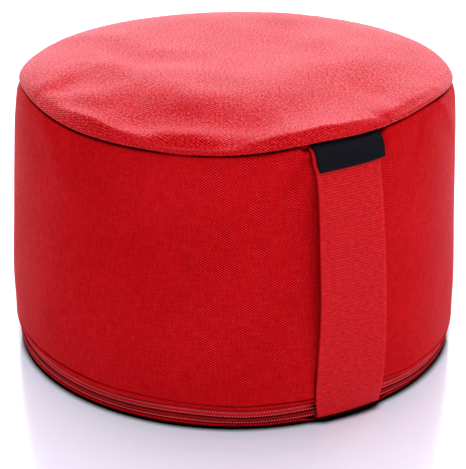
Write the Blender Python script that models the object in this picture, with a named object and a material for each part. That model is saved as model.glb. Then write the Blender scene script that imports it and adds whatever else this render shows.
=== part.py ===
"""Round floor cushion with a carrying strap and a zip round its foot.

Metres, +Z up. The origin is the middle of the flat base, on the floor.
The strap and the label are at -Y. Azimuths are measured from -Y towards +X.
"""
import math

import bmesh
import bpy

MM = 0.001

# Driving dimensions
SEAM_HEIGHT = 199.4 * MM        # top seam above the floor, before its rises and dips
STEPS_ROUND = 96                # steps of every ring round the cushion
SHEET = 2.0 * MM                # canvas with its seam allowances
GAP = 0.3 * MM                  # clearance between pieces that touch
SEAT_GAP = 0.35 * MM            # clearance under the strap and the label
STRAP_WIDTH = 50.8 * MM
STRAP_THICKNESS = 1.8 * MM
LABEL_WIDTH = 51.0 * MM
LABEL_SHIFT = 1.6 * MM          # the label's middle lies this far beside the strap's
LABEL_SKEW = 0.9 * MM           # and its fold this much further
LABEL_LAYER = 0.6 * MM
LABEL_SPLIT = 0.35 * MM         # between the two layers of the folded label
LABEL_LENGTH = 20.0 * MM        # from its sewn end to its fold
ZIP_RECESS_RADIUS = 162.8 * MM  # filled body behind the zip
TOP_SECTOR = (-13.6, -11.5, 9.2, 11.4)    # degrees: top seam shut, open, open and shut
FOOT_SECTOR = (-12.0, -9.9, 10.8, 13.0)   # the same where the strap turns in at the foot
FULL_AZIMUTH = -50.0            # degrees: the fullest side of the crown
LEAN = 1.6 * MM                 # the filling leans the crown's middle this far to one side
LEAN_AZIMUTH = 61.5             # degrees

# Room that the strap and the folded label take in the seam
LABEL_STACK = 2 * LABEL_LAYER + LABEL_SPLIT
SEAM_POCKET = 3 * SEAT_GAP + STRAP_THICKNESS + LABEL_STACK - GAP

# Rises and dips of the top seam: azimuth (deg), spread (deg), rise (mm)
SEAM_WAVES = (
    (-100.0, 22.0, 6.3),
    (-8.0, 14.0, 4.0),
    (28.0, 26.0, 10.0),
    (180.0, 60.0, -3.5),
)

# Side band from its rolled lower edge to the shoulder: radius (mm), height (mm), follow.
# "follow" is the share of the seam's rises and dips that a row takes.
SIDE_ROWS = (
    (164.9, 19.1, 0.0),
    (167.2, 18.7, 0.0),
    (168.2, 20.8, 0.0),
    (168.4, 32.0, 0.0),
    (168.4, 50.0, 0.0),
    (167.2, 75.0, 0.0),
    (165.7, 100.0, 0.05),
    (164.5, 125.0, 0.15),
    (163.3, 148.0, 0.35),
    (162.2, 168.0, 0.65),
    (161.1, 182.0, 0.85),
    (160.1, 190.5, 1.0),
)

# Side band's lip at the top seam: radius (mm), height from the seam (mm)
LIP_ROWS = (
    (158.9, -4.9),
    (157.6, -2.1),
    (155.8, -0.6),
    (152.8, -0.3),
)

# Outer face of the top panel, rim to crown: radius (mm), height from the seam (mm),
# share of the seam's rises and dips, and how far the far side sags (mm)
CROWN_ROWS = (
    (155.3, 0.0, 1.0, 0.0),
    (157.2, 1.1, 1.0, 0.0),
    (157.8, 2.8, 1.0, 0.0),
    (156.6, 5.4, 0.95, 1.2),
    (152.6, 8.9, 0.85, 3.4),
    (145.5, 12.4, 0.7, 5.2),
    (134.5, 15.1, 0.5, 5.4),
    (120.0, 16.8, 0.3, 4.2),
    (98.0, 18.0, 0.12, 1.8),
    (76.0, 18.5, 0.05, 0.5),
    (45.0, 18.8, 0.0, 0.0),
)
CROWN_HEIGHT = 18.9 * MM        # middle of the crown above the seam
RIM_ROWS = 4                    # crown rows on the turned-down rim
RIM_FOOT_RADIUS = 153.1 * MM    # inner corner of the rim
RIM_INNER_HEIGHT = 3.4 * MM

# Soft folds of the top panel, as straight ridges (+) and troughs (-):
# azimuth (deg) and radius (mm) of both ends, half width (mm), height (mm)
CROWN_FOLDS = (
    (-89.0, 146.0, -86.0, 112.0, 9.0, 1.6),
    (-86.0, 112.0, -68.0, 104.0, 10.0, 1.0),
    (-98.0, 140.0, -104.0, 98.0, 12.0, -1.4),
    (-108.0, 136.0, -118.0, 84.0, 11.0, 1.2),
    (-66.0, 143.0, -32.0, 141.0, 9.0, 1.6),
    (-55.0, 118.0, -28.0, 118.0, 16.0, -1.8),
    (-147.0, 131.0, -150.0, 96.0, 12.0, 1.2),
    (119.0, 103.0, 101.0, 96.0, 12.0, -1.0),
)

# Soft folds of the side band: azimuth (deg) and height (mm) of both ends,
# half width (mm), outward height (mm)
SIDE_FOLDS = (
    (-12.5, 196.0, -25.0, 172.0, 9.0, -1.8),
    (-20.0, 196.0, -34.0, 176.0, 10.0, 1.0),
    (-84.0, 198.0, -76.0, 168.0, 9.0, 0.9),
    (35.0, 206.0, 46.0, 172.0, 9.0, 1.0),
)

# Base panel outside the strap's sector: outer face from floor to rim, radius and height (mm)
BASE_ROWS = (
    (152.0, 0.0),
    (161.2, 0.0),
    (163.4, 0.4),
    (164.9, 1.7),
    (165.2, 3.1),
    (164.5, 4.4),
    (162.9, 4.6),
    (161.8, 4.2),
)
BASE_CORNER_RADIUS = 161.8 * MM
LOW_RIM = 0.5                   # share of its height that the rim keeps under the strap
LOW_RIM_SLOPE = 1.0 * MM
BODY_FOOT_RADIUS = BASE_CORNER_RADIUS - LOW_RIM_SLOPE - GAP

# Sections of the zip rings: radius (mm), height (mm)
UPPER_TAPE = ((163.1, 9.6), (164.3, 9.6), (164.3, 20.2), (163.1, 20.2))
LOWER_TAPE = ((163.1, 4.9), (164.3, 4.9), (164.3, 9.0), (163.1, 9.0))
COIL = (
    (164.6, 7.2), (165.9, 7.3), (166.4, 8.2), (166.0, 9.3), (166.4, 10.4), (165.9, 11.3), (164.6, 11.4),
)
RECESS_FOOT = 4.7 * MM
RECESS_TOP = 20.6 * MM

# Strap between its two sewn ends, inner face, downwards: radius (mm), height (mm),
# share of the seam's rises and dips, how far the width follows the cushion's curve (0 to 1),
# sideways shift (mm), and how far the left edge stands out beyond the right one (mm)
STRAP_ROWS = (
    (163.3, 186.0, 0.9, 0.95, -3.9, 3.0),
    (166.6, 176.0, 0.75, 0.8, -4.3, 3.8),
    (169.6, 163.0, 0.6, 0.65, -4.7, 2.8),
    (172.4, 143.0, 0.3, 0.5, -4.8, 0.7),
    (174.5, 120.0, 0.1, 0.45, -4.3, -0.9),
    (175.2, 98.0, 0.0, 0.45, -3.4, -2.0),
    (175.3, 76.0, 0.0, 0.45, -3.0, -3.6),
    (175.0, 56.0, 0.0, 0.5, -2.8, -5.6),
    (174.0, 38.0, 0.0, 0.6, -2.6, -6.4),
    (171.8, 24.0, 0.0, 0.75, -1.9, -5.6),
    (169.6, 15.0, 0.0, 0.9, -0.6, -3.6),
    (168.2, 10.0, 0.0, 1.0, 0.4, -2.2),
    (167.5, 6.8, 0.0, 1.0, 0.8, -0.8),
    (166.1, 5.1, 0.0, 1.0, 1.0, 0.0),
    (163.3, 4.55, 0.0, 1.0, 1.0, 0.0),
)
STRAP_TOP_SHIFT = -3.6 * MM     # sideways shift of its sewn end in the top seam
STRAP_TUCK_RADIUS = 153.4 * MM  # its sewn end in the top seam
STRAP_COLUMNS = 8               # steps across the width

# Colours
CANVAS_RED = (0.62, 0.012, 0.022, 1.0)
WEBBING_RED = (0.66, 0.014, 0.026, 1.0)
ZIP_RED = (0.60, 0.012, 0.030, 1.0)
LABEL_BLACK = (0.012, 0.013, 0.018, 1.0)


def clear_scene():
    """Empty the scene before the cushion is built."""
    for old in list(bpy.data.objects):
        bpy.data.objects.remove(old, do_unlink=True)


def finish_material(name, colour, roughness, metallic=0.0):
    """Principled finish of one cloth."""
    material = bpy.data.materials.new(name)
    material.use_nodes = True
    shader = material.node_tree.nodes["Principled BSDF"]
    shader.inputs["Base Color"].default_value = colour
    shader.inputs["Roughness"].default_value = roughness
    shader.inputs["Metallic"].default_value = metallic
    material.diffuse_color = colour
    return material


def ease(value, start, stop):
    """Smooth rise from 0 at start to 1 at stop."""
    share = (value - start) / (stop - start)
    share = min(1.0, max(0.0, share))
    return share * share * (3.0 - 2.0 * share)


def apart(azimuth, other):
    """Signed difference of two azimuths, within half a turn."""
    return (azimuth - other + 180.0) % 360.0 - 180.0


def seam_rise(azimuth):
    """Rise of the top seam at an azimuth: the sum of its waves."""
    return sum(rise * MM * math.exp(-(apart(azimuth, middle) / spread) ** 2)
               for middle, spread, rise in SEAM_WAVES)


def strap_sector(azimuth, sector):
    """1 where the strap passes through a seam, 0 away from it."""
    shut_left, open_left, open_right, shut_right = sector
    turn = apart(azimuth, 0.0)
    return ease(turn, shut_left, open_left) * (1.0 - ease(turn, open_right, shut_right))


def far_side(azimuth):
    """0 at the fullest side of the crown, 1 at the side opposite."""
    return (0.5 - 0.5 * math.cos(math.radians(azimuth - FULL_AZIMUTH))) ** 1.5


def ring_azimuths():
    """Azimuths of every ring: even steps, with the edges of the strap's sector in their place."""
    step = 360.0 / STEPS_ROUND
    edges = [edge % 360.0 for edge in TOP_SECTOR + FOOT_SECTOR]
    even = [index * step for index in range(STEPS_ROUND)]
    kept = [turn for turn in even if all(abs(apart(turn, edge)) > step / 3.0 for edge in edges)]
    return sorted(kept + edges)


def place(radius, azimuth, height):
    """Point at a radius, an azimuth in degrees and a height."""
    turn = math.radians(azimuth)
    return (radius * math.sin(turn), -radius * math.cos(turn), height)


def fold_height(across, along, folds):
    """Height of straight soft folds at a flat position, each a smooth bump along a line."""
    total = 0.0
    for (x0, y0), (x1, y1), half_width, height in folds:
        length = math.hypot(x1 - x0, y1 - y0)
        share = ((across - x0) * (x1 - x0) + (along - y0) * (y1 - y0)) / length ** 2
        share = min(1.0, max(0.0, share))
        away = math.hypot(across - x0 - share * (x1 - x0), along - y0 - share * (y1 - y0))
        total += height * math.exp(-(away / half_width) ** 2)
    return total


def flat_crown_folds():
    """The crown's folds in plan."""
    return [(place(r0 * MM, a0, 0.0)[:2], place(r1 * MM, a1, 0.0)[:2], half * MM, rise * MM)
            for a0, r0, a1, r1, half, rise in CROWN_FOLDS]


def flat_side_folds():
    """The side band's folds on the band laid flat: distance round it and height."""
    girth = SIDE_ROWS[-1][0] * MM
    return [((girth * math.radians(a0), z0 * MM), (girth * math.radians(a1), z1 * MM),
             half * MM, rise * MM)
            for a0, z0, a1, z1, half, rise in SIDE_FOLDS]


def beside(path, distance):
    """The path moved to its left by a distance, mitred at its corners."""
    moved = []
    for index, (radius, height) in enumerate(path):
        sides = []
        for first, second in ((index - 1, index), (index, index + 1)):
            if first < 0 or second >= len(path):
                continue
            run = path[second][0] - path[first][0]
            climb = path[second][1] - path[first][1]
            length = math.hypot(run, climb)
            sides.append((-climb / length, run / length))
        left = [sum(side[axis] for side in sides) / len(sides) for axis in (0, 1)]
        stretch = distance / (left[0] ** 2 + left[1] ** 2)
        moved.append((radius + left[0] * stretch, height + left[1] * stretch))
    return moved


def side_path(azimuth):
    """Outer face of the side band, from its lower edge up to its lip."""
    folds = flat_side_folds()
    rise = seam_rise(azimuth) - SEAM_POCKET * strap_sector(azimuth, TOP_SECTOR)
    path = []
    for radius, height, follow in SIDE_ROWS:
        level = height * MM + follow * rise
        around = SIDE_ROWS[-1][0] * MM * math.radians(apart(azimuth, 0.0))
        path.append((radius * MM + fold_height(around, level, folds), level))
    for radius, below in LIP_ROWS:
        path.append((radius * MM, SEAM_HEIGHT + below * MM + rise))
    return path


def crown_path(azimuth):
    """Outer face of the top panel, from its rim to near its middle."""
    folds = flat_crown_folds()
    path = []
    for index, (radius, above, follow, sag) in enumerate(CROWN_ROWS):
        level = SEAM_HEIGHT + above * MM + follow * seam_rise(azimuth) - sag * MM * far_side(azimuth)
        if index >= RIM_ROWS:
            x, y, _ = place(radius * MM, azimuth, 0.0)
            level += fold_height(x, y, folds)
        path.append((radius * MM, level))
    return path


def base_path(azimuth):
    """Lower and outer face of the base panel; its rim is low where the strap turns in under the zip."""
    low = strap_sector(azimuth, FOOT_SECTOR)
    path = []
    for radius, height in BASE_ROWS:
        path.append((radius * MM, height * MM * (1.0 - low * (1.0 - LOW_RIM))))
    path.append((BASE_CORNER_RADIUS - low * LOW_RIM_SLOPE, SHEET))
    return path


def body_section(azimuth):
    """Filled body: floor, recess behind the zip, side, lip, seat of the rim, crown under the panel."""
    crown = crown_path(azimuth)
    under = beside(crown, SHEET + GAP)[RIM_ROWS:]
    rim = SEAM_HEIGHT + seam_rise(azimuth)
    path = [
        (BODY_FOOT_RADIUS, SHEET + GAP),
        (BODY_FOOT_RADIUS, RECESS_FOOT),
        (ZIP_RECESS_RADIUS, RECESS_FOOT),
        (ZIP_RECESS_RADIUS, RECESS_TOP),
        (SIDE_ROWS[0][0] * MM, RECESS_TOP),
    ]
    path += side_path(azimuth)
    path.append((RIM_FOOT_RADIUS - 2 * GAP, rim + RIM_INNER_HEIGHT))
    return path + under


def panel_section(azimuth):
    """Top panel: under face from near the middle to the rim, then the outer face back."""
    crown = crown_path(azimuth)
    under = beside(crown, SHEET)[RIM_ROWS:]
    rim = SEAM_HEIGHT + seam_rise(azimuth)
    path = under[::-1]
    path.append((RIM_FOOT_RADIUS - GAP, rim + RIM_INNER_HEIGHT))
    path.append((RIM_FOOT_RADIUS, rim))
    return path + crown


def base_section(azimuth):
    """Base panel: floor, rim, then the upper face inwards."""
    path = base_path(azimuth)
    path.append((BASE_ROWS[0][0] * MM, SHEET))
    return path


def ring_section(rows):
    """Section that is the same all the way round."""
    return lambda azimuth: [(radius * MM, height * MM) for radius, height in rows]


def add_object(name, shell, material):
    """Make a mesh object from a bmesh, leaned with the crown, smooth between its sharper edges."""
    top = SEAM_HEIGHT + CROWN_HEIGHT
    for corner in shell.verts:
        across, along, _ = place(LEAN, LEAN_AZIMUTH, 0.0)
        share = (corner.co.z / top) ** 2
        corner.co.x += across * share
        corner.co.y += along * share
    bmesh.ops.recalc_face_normals(shell, faces=shell.faces)
    mesh = bpy.data.meshes.new(name)
    shell.to_mesh(mesh)
    shell.free()
    mesh.materials.append(material)
    mesh.shade_smooth()
    mesh.set_sharp_from_angle(angle=math.radians(50.0))
    piece = bpy.data.objects.new(name, mesh)
    bpy.context.scene.collection.objects.link(piece)
    return piece


def join_loops(shell, first, second, closed):
    """Two triangles between each pair of points of two rows. The split starts at whichever point
    of the first row lies further out, so that faces that lie close together fold alike."""
    count = len(first)
    for index in range(count if closed else count - 1):
        following = (index + 1) % count
        corners = (first[index], second[index], second[following], first[following])
        start = 0 if first[index].co.xy.length >= first[following].co.xy.length else 1
        one, two, three, four = corners[start:] + corners[:start]
        shell.faces.new((one, two, three))
        shell.faces.new((one, three, four))


def turned(name, section, material, poles=()):
    """Carry a section round the axis. Heights in poles close it on the axis at its two ends."""
    shell = bmesh.new()
    rings = []
    for azimuth in ring_azimuths():
        rings.append([shell.verts.new(place(r, azimuth, z)) for r, z in section(azimuth)])
    for ring, following in zip(rings, rings[1:] + rings[:1]):
        join_loops(shell, ring, following, closed=not poles)
    for height, end in zip(poles, (0, -1)):
        pole = shell.verts.new((0.0, 0.0, height))
        for ring, following in zip(rings, rings[1:] + rings[:1]):
            shell.faces.new((pole, ring[end], following[end]))
    return add_object(name, shell, material)


def strap_columns(width, shift=0.0):
    """Places across a width, from one edge to the other."""
    return [shift + width * (index / STRAP_COLUMNS - 0.5) for index in range(STRAP_COLUMNS + 1)]


def strap_inner(across):
    """Inner face of the strap at a place across its width, from the top seam to its foot, and
    for each of its points how it lies: curve followed, sideways shift, left edge out."""
    azimuth = math.degrees(math.asin((across + STRAP_TOP_SHIFT) / (LIP_ROWS[1][0] * MM)))
    band = side_path(azimuth)[::-1][:len(LIP_ROWS) + 1]
    band[0] = (STRAP_TUCK_RADIUS, band[0][1])
    path = beside(band, SEAT_GAP)
    lies = [(1.0, STRAP_TOP_SHIFT, 0.0)] * len(path)
    rise = seam_rise(azimuth) - SEAM_POCKET
    for radius, height, follow, wrap, shift, turn in STRAP_ROWS:
        path.append((radius * MM, height * MM + follow * rise))
        lies.append((wrap, shift * MM, turn * MM))
    return path, lies


def across_place(across, radius, height, lie):
    """Point of the strap: on the cushion's curve where the wrap is 1, on a flat band where it is 0,
    shifted sideways and turned about its middle."""
    wrap, shift, turn = lie
    sideways = across + shift
    depth = math.sqrt(radius ** 2 - sideways ** 2)
    stand = radius + wrap * (depth - radius) - turn * across / STRAP_WIDTH
    return (sideways, -stand, height)


def carried(name, sections, rungs, material):
    """Solid from like closed sections side by side. Rungs are the quads that close both ends."""
    shell = bmesh.new()
    rings = [[shell.verts.new(point) for point in section] for section in sections]
    for ring, following in zip(rings, rings[1:]):
        join_loops(shell, ring, following, closed=True)
    for ring in (rings[0], rings[-1]):
        for one, two, three, four in rungs:
            shell.faces.new((ring[one], ring[two], ring[three]))
            shell.faces.new((ring[one], ring[three], ring[four]))
    return add_object(name, shell, material)


def make_strap(material):
    """Webbing from the top seam, off the side as a handle, over the zip, and in at the foot."""
    sections = []
    for across in strap_columns(STRAP_WIDTH):
        inner, lies = strap_inner(across)
        outer = beside(inner, STRAP_THICKNESS)
        near = [across_place(across, r, z, lie) for (r, z), lie in zip(inner, lies)]
        far = [across_place(across, r, z, lie) for (r, z), lie in zip(outer, lies)]
        sections.append(near + far[::-1])
    last = len(sections[0]) - 1
    rungs = [(step, step + 1, last - 1 - step, last - step) for step in range(last // 2)]
    return carried("strap", sections, rungs, material)


def cut_to_length(path, lies, length):
    """The start of a path, with how its points lie, ended at a length along it."""
    kept = [path[0]]
    left = length
    for index, (first, second) in enumerate(zip(path, path[1:])):
        run = math.hypot(second[0] - first[0], second[1] - first[1])
        if run >= left:
            share = left / run
            kept.append(tuple(a + share * (b - a) for a, b in zip(first, second)))
            end = tuple(a + share * (b - a) for a, b in zip(lies[index], lies[index + 1]))
            return kept, lies[:index + 1] + [end]
        kept.append(second)
        left -= run
    return kept, lies


def short_of(first, second, distance):
    """Point on the line from first to second, a distance before second."""
    share = distance / math.dist(first, second)
    return tuple(b + share * (a - b) for a, b in zip(first, second))


def make_label(material):
    """Ribbon folded double over the strap, its fold at the bottom and both ends in the seam."""
    sections = []
    for across in strap_columns(LABEL_WIDTH):
        inner, lies = strap_inner(across + LABEL_SHIFT)
        route = beside(inner, STRAP_THICKNESS + SEAT_GAP)
        whole, lies = cut_to_length(route, lies, LABEL_LENGTH)
        split = whole[:-1] + [short_of(whole[-2], whole[-1], LABEL_LAYER)]
        runs = (whole, beside(whole, LABEL_STACK),
                beside(split, LABEL_LAYER + LABEL_SPLIT), beside(split, LABEL_LAYER))
        section = []
        for number, run in enumerate(runs):
            ordered = list(enumerate(run))
            for index, (radius, height) in ordered[::-1] if number % 2 else ordered:
                beyond = across + LABEL_SHIFT + LABEL_SKEW * index / (len(run) - 1)
                section.append(across_place(beyond, radius, height, lies[index]))
        sections.append(section)
    return carried("label", sections, label_rungs(len(sections[0]) // 4), material)


def label_rungs(count):
    """Quads that close an end of the folded label: both layers, then the fold."""
    last = 4 * count - 1
    back = [(step, step + 1, last - 1 - step, last - step) for step in range(count - 1)]
    front = [(2 * count + step, 2 * count + step + 1, 2 * count - 2 - step, 2 * count - 1 - step)
             for step in range(count - 1)]
    return back + front + [(count - 1, count, 3 * count - 1, 3 * count)]


def main():
    """Build every piece of the cushion."""
    clear_scene()
    canvas = {name: finish_material(name, CANVAS_RED, 0.85)
              for name in ("canvas_side", "canvas_top", "canvas_base")}
    tape = {name: finish_material(name, ZIP_RED, 0.8) for name in ("tape_upper", "tape_lower")}
    crown_top = SEAM_HEIGHT + CROWN_HEIGHT
    turned("side_band", body_section, canvas["canvas_side"],
           poles=(SHEET + GAP, crown_top - SHEET - GAP))
    turned("top_panel", panel_section, canvas["canvas_top"],
           poles=(crown_top - SHEET, crown_top))
    turned("base_panel", base_section, canvas["canvas_base"], poles=(0.0, SHEET))
    turned("zip_tape_upper", ring_section(UPPER_TAPE), tape["tape_upper"])
    turned("zip_tape_lower", ring_section(LOWER_TAPE), tape["tape_lower"])
    turned("zip_coil", ring_section(COIL), finish_material("coil", ZIP_RED, 0.4))
    make_strap(finish_material("webbing", WEBBING_RED, 0.7))
    make_label(finish_material("ribbon", LABEL_BLACK, 0.45))


main()
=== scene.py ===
"""Looks of a round floor cushion: canvas cover, zip round the foot, webbing strap and blank label.

Metres, +Z up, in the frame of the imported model: the origin is the middle of the flat base, on
the floor, and the strap and the label are at -Y. Azimuths run from -Y towards +X, in degrees.
"""
import math

import bpy
import numpy as np
from bpy.props import FloatProperty, FloatVectorProperty, PointerProperty
from mathutils import Matrix, Vector


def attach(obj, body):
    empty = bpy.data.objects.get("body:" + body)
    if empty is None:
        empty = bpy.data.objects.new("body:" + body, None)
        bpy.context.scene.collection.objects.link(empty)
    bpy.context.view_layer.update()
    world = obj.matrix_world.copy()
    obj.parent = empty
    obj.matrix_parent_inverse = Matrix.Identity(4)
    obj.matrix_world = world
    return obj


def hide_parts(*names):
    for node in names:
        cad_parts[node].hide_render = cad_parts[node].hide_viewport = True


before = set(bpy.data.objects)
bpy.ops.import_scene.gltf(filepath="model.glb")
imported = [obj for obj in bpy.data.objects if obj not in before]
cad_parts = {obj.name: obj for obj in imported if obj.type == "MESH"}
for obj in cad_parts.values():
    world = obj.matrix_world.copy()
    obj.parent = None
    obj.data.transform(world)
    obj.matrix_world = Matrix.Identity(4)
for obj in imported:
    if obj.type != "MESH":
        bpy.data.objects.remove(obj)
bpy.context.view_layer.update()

bl_info = {
    "name": "Floor Cushion",
    "version": (1, 0, 0),
    "blender": (4, 5, 0),
    "location": "View3D > Sidebar > Cushion",
    "description": "Dresses a round floor cushion in canvas, with its zip, strap and label",
    "category": "Object",
}

MM = 0.001
TURN = 360.0

# Driving dimensions
SEAM_HEIGHT = 199.4 * MM        # top seam above the floor, before its rises and dips
CROWN_HEIGHT = 18.9 * MM        # middle of the crown above the seam
SHEET = 2.0 * MM                # canvas with its seam allowances
GAP = 0.3 * MM                  # clearance between pieces that touch
SEAT_GAP = 0.35 * MM            # clearance under the strap and the label
STRAP_WIDTH = 50.8 * MM
STRAP_THICKNESS = 1.8 * MM
LABEL_WIDTH = 51.0 * MM
LABEL_SHIFT = 1.6 * MM          # the label's middle lies this far beside the strap's
LABEL_SKEW = 0.9 * MM           # and its fold this much further
LABEL_LAYER = 0.6 * MM
LABEL_SPLIT = 0.35 * MM         # between the two layers of the folded label
LABEL_LENGTH = 20.0 * MM        # from its sewn end to its fold
LABEL_BULGE = 0.35 * MM         # its front layer stands out this much more in the middle
LABEL_STACK = 2 * LABEL_LAYER + LABEL_SPLIT
SEAM_POCKET = 3 * SEAT_GAP + STRAP_THICKNESS + LABEL_STACK - GAP
TOP_SECTOR = (-13.6, -11.5, 9.2, 11.4)    # degrees: top seam shut, open, open and shut
FOOT_SECTOR = (-12.0, -9.9, 10.8, 13.0)   # the same where the strap turns in at the foot
FULL_AZIMUTH = -50.0            # degrees: the fullest side of the crown
LEAN = 1.6 * MM                 # the filling leans the crown's middle this far to one side
LEAN_AZIMUTH = 61.5             # degrees
GIRTH = 165.0 * MM              # radius at which distances round the cushion are measured
COLUMNS = 768                   # steps of the canvas round the cushion
BAND_STEP = 2.8 * MM            # steps of the canvas up the side
EDGE_STEP = 0.55 * MM           # and over the zip
LOW_ROWS = 7                    # rows of the side band that take those fine steps
LIP_STEP = 1.2 * MM             # and over the lip at the top seam
CROWN_STEP = 1.7 * MM           # and from the rim of the crown to its middle
BASE_STEP = 0.7 * MM            # and over the rim of the base
UNDER_STEP = 7                  # the hidden under face has every so many of the crown's rows
UNDER_RADIUS = 152.0 * MM       # and begins inside this radius
TAPE_ROWS = 6                   # rows of a tape's outer face
STRAP_PLACES = (24, 0.45 * MM)  # places across the strap, and the width of its edge
LABEL_PLACES = (16, 0.3 * MM)   # the same of the label
RIB_STEPS = 6.0                 # steps for each rib of the strap
LABEL_STEP = 0.4 * MM           # steps down the label
LABEL_FOLD_STEPS = 8            # and round its fold
EDGE_HEIGHT = 19.9 * MM         # the band's lower edge, before its waves
GROOVE_DEPTH = 1.5 * MM         # depth of the groove over the band's hem
GROOVE_HALF = 0.75 * MM         # and its half width
CROWN_THREADS = -28.5           # degrees: the way the top panel's threads run in plan
EDGE_ROUND = 0.45               # share of the strap's thickness taken off either face at its edges
LOW_SELVEDGE = 0.25             # the selvedge lies lower by this share of a rib
INNER_RIB = 0.6                 # height of a rib on the strap's inner face, as a share

# Small waves round the cushion: seed, whole orders, and drift (m), as in ripple
SIDE_RIPPLE = (3, (3, 5, 7, 11), 60.0 * MM)
SEAM_PUCKERS = (5, (41, 53, 67, 83), 14.0 * MM)
SEAM_UNEVEN = (8, (4, 6, 9), 1.0)
GROOVE_UNEVEN = (11, (2, 3, 5), 1.0)
HEM_PUCKERS = (13, (29, 37, 47), 20.0 * MM)
CROWN_RIPPLE = (21, (2, 3, 5, 7), 50.0 * MM)
RIM_PUCKERS = (23, (37, 49, 61, 79), 16.0 * MM)
RIM_UNEVEN = (25, (3, 5, 8), 1.0)
TAPE_UNEVEN = (31, (9, 14, 22, 35), 1.0)
SIDE_RIPPLE_HEIGHT = 0.55 * MM
CROWN_RIPPLE_HEIGHT = 0.12 * MM
TAPE_SWELL = 0.12 * MM
HEM_SHARE = 0.5                 # height of the hem's puckers, as a share of the seam's
RIM_SHARE = 1.3                 # and of those on the crown's rim

# Distances (m) over which shapes come and go: start and stop, as in ease
EDGE_FADE = (23.0, 60.0)                    # lower edge's waves, over these heights (mm)
ROLL_FADE = (3.5 * MM, 5.5 * MM)            # band's relief, along it from its rolled edge
LIP_FADE = (3.0 * MM, 9.0 * MM)             # and before the end of its lip
SOFT_START = (28.0 * MM, 70.0 * MM)         # side's ripple, by height
SOFT_END = (8.0 * MM, 30.0 * MM)            # and by distance below the seam
CROWN_SOFT = (0.0, 60.0 * MM)               # crown's ripple, by radius
CROWN_EDGE = (152.5 * MM, 157.6 * MM)       # crown's folds at its rim, by radius

# Puckers by the distance from their seam (m): length, start and stop, as in fading
SEAM_FADE = (9.0 * MM, 1.0 * MM, 5.0 * MM)
HEM_FADE = (10.0 * MM, 0.0, 4.0 * MM)
RIM_FADE = (8.0 * MM, 3.0 * MM, 8.0 * MM)

# Canvas: how the weave wanders and clouds, and each panel's looks, as in canvas_finish
THREAD_BEND = 8.0 * MM          # size of the clouds that make threads wander
THREAD_RISE = 0.8               # how much a thread is raised or lowered where it crosses
CONTRAST_CLOUD = 13.0 * MM      # size of the clouds in which the weave's contrast changes
TONE_CLOUD = (55.0, 55.0, 0.05)     # large clouds: width and length (mm), share lighter or darker
SIDE_LOOK = {"worn": 0.08, "gloss": 0.015, "crisp": -22.0}
# The top panel's lift paints it lighter than the side, as painted light; its gloss and shine are
# the shader's own.
TOP_LOOK = {"nap": (1.9, 1.5), "worn": 0.21, "gloss": 0.2, "lift": 1.08,
            "shine": (1.0, 0.95, 1.12)}
# The base's stronger, wider hollow darkening paints a dark contact shadow where it meets the floor.
BASE_LOOK = {"hollow_shade": (6.0, 0.03, 0.62, 0.86)}

# Rises and dips of the top seam: azimuth (deg), spread (deg), rise (mm)
SEAM_WAVES = (
    (-100.0, 22.0, 6.3),
    (-8.0, 14.0, 4.0),
    (28.0, 26.0, 10.0),
    (180.0, 60.0, -3.5),
)

# Rises and dips of the zip: azimuth (deg), spread (deg), rise (mm)
FOOT_WAVES = (
    (-97.0, 12.0, 1.2),
    (-62.0, 14.0, -0.5),
    (-25.0, 11.0, -1.8),
    (22.0, 8.0, -1.2),
    (44.0, 20.0, -4.4),
)
FOOT_HEIGHT = 9.3 * MM          # above this height the zip moves with its waves, below it less

# Rises and dips of the band's lower edge, over the zip: azimuth (deg), spread (deg), rise (mm)
EDGE_WAVES = (
    (-62.0, 24.0, -3.0),
    (-26.0, 12.0, -3.1),
    (-8.0, 9.0, -2.2),
    (18.0, 6.0, -2.2),
    (40.0, 19.0, -6.4),
    (150.0, 14.0, -1.2),
    (-150.0, 20.0, 0.8),
)

# Height of the hem's groove over the band's lower edge: azimuth (deg), height (mm)
GROOVE_LEVELS = (
    (-180.0, 3.6),
    (-92.0, 3.4),
    (-72.0, 4.6),
    (-52.0, 4.0),
    (-40.0, 2.4),
    (-10.0, 2.6),
    (180.0, 3.6),
)

# Side band from its rolled lower edge to the shoulder: radius (mm), height (mm), follow.
# "follow" is the share of the seam's rises and dips that a row takes.
SIDE_ROWS = (
    (165.8, 23.2, 0.0),
    (166.0, 21.6, 0.0),
    (166.6, 20.5, 0.0),
    (167.5, 19.9, 0.0),
    (168.2, 20.2, 0.0),
    (168.5, 21.4, 0.0),
    (168.4, 23.8, 0.0),
    (168.4, 27.0, 0.0),
    (168.4, 32.0, 0.0),
    (168.4, 50.0, 0.0),
    (167.2, 75.0, 0.0),
    (165.7, 100.0, 0.05),
    (164.5, 125.0, 0.15),
    (163.3, 148.0, 0.35),
    (162.2, 168.0, 0.65),
    (161.1, 182.0, 0.85),
    (160.1, 190.5, 1.0),
)

# Side band's lip at the top seam: radius (mm), height from the seam (mm)
LIP_ROWS = (
    (158.9, -4.9),
    (157.6, -2.1),
    (155.8, -0.6),
    (152.8, -0.3),
)

# Outer face of the top panel, rim to crown: radius (mm), height from the seam (mm),
# share of the seam's rises and dips, how far the far side sags (mm), share of the front's droop
CROWN_ROWS = (
    (155.3, 0.0, 1.0, 0.0, 0.0),
    (157.2, 1.1, 1.0, 0.0, 0.0),
    (157.8, 2.8, 1.0, 0.0, 0.1),
    (156.6, 5.4, 0.95, 1.2, 0.4),
    (152.6, 8.9, 0.85, 3.4, 0.7),
    (145.5, 12.4, 0.7, 5.2, 0.9),
    (134.5, 15.1, 0.5, 5.4, 1.0),
    (120.0, 16.8, 0.3, 4.2, 0.7),
    (98.0, 18.0, 0.12, 1.8, 0.2),
    (76.0, 18.5, 0.05, 0.5, 0.0),
    (45.0, 18.8, 0.0, 0.0, 0.0),
    (0.0, 18.9, 0.0, 0.0, 0.0),
)

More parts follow.
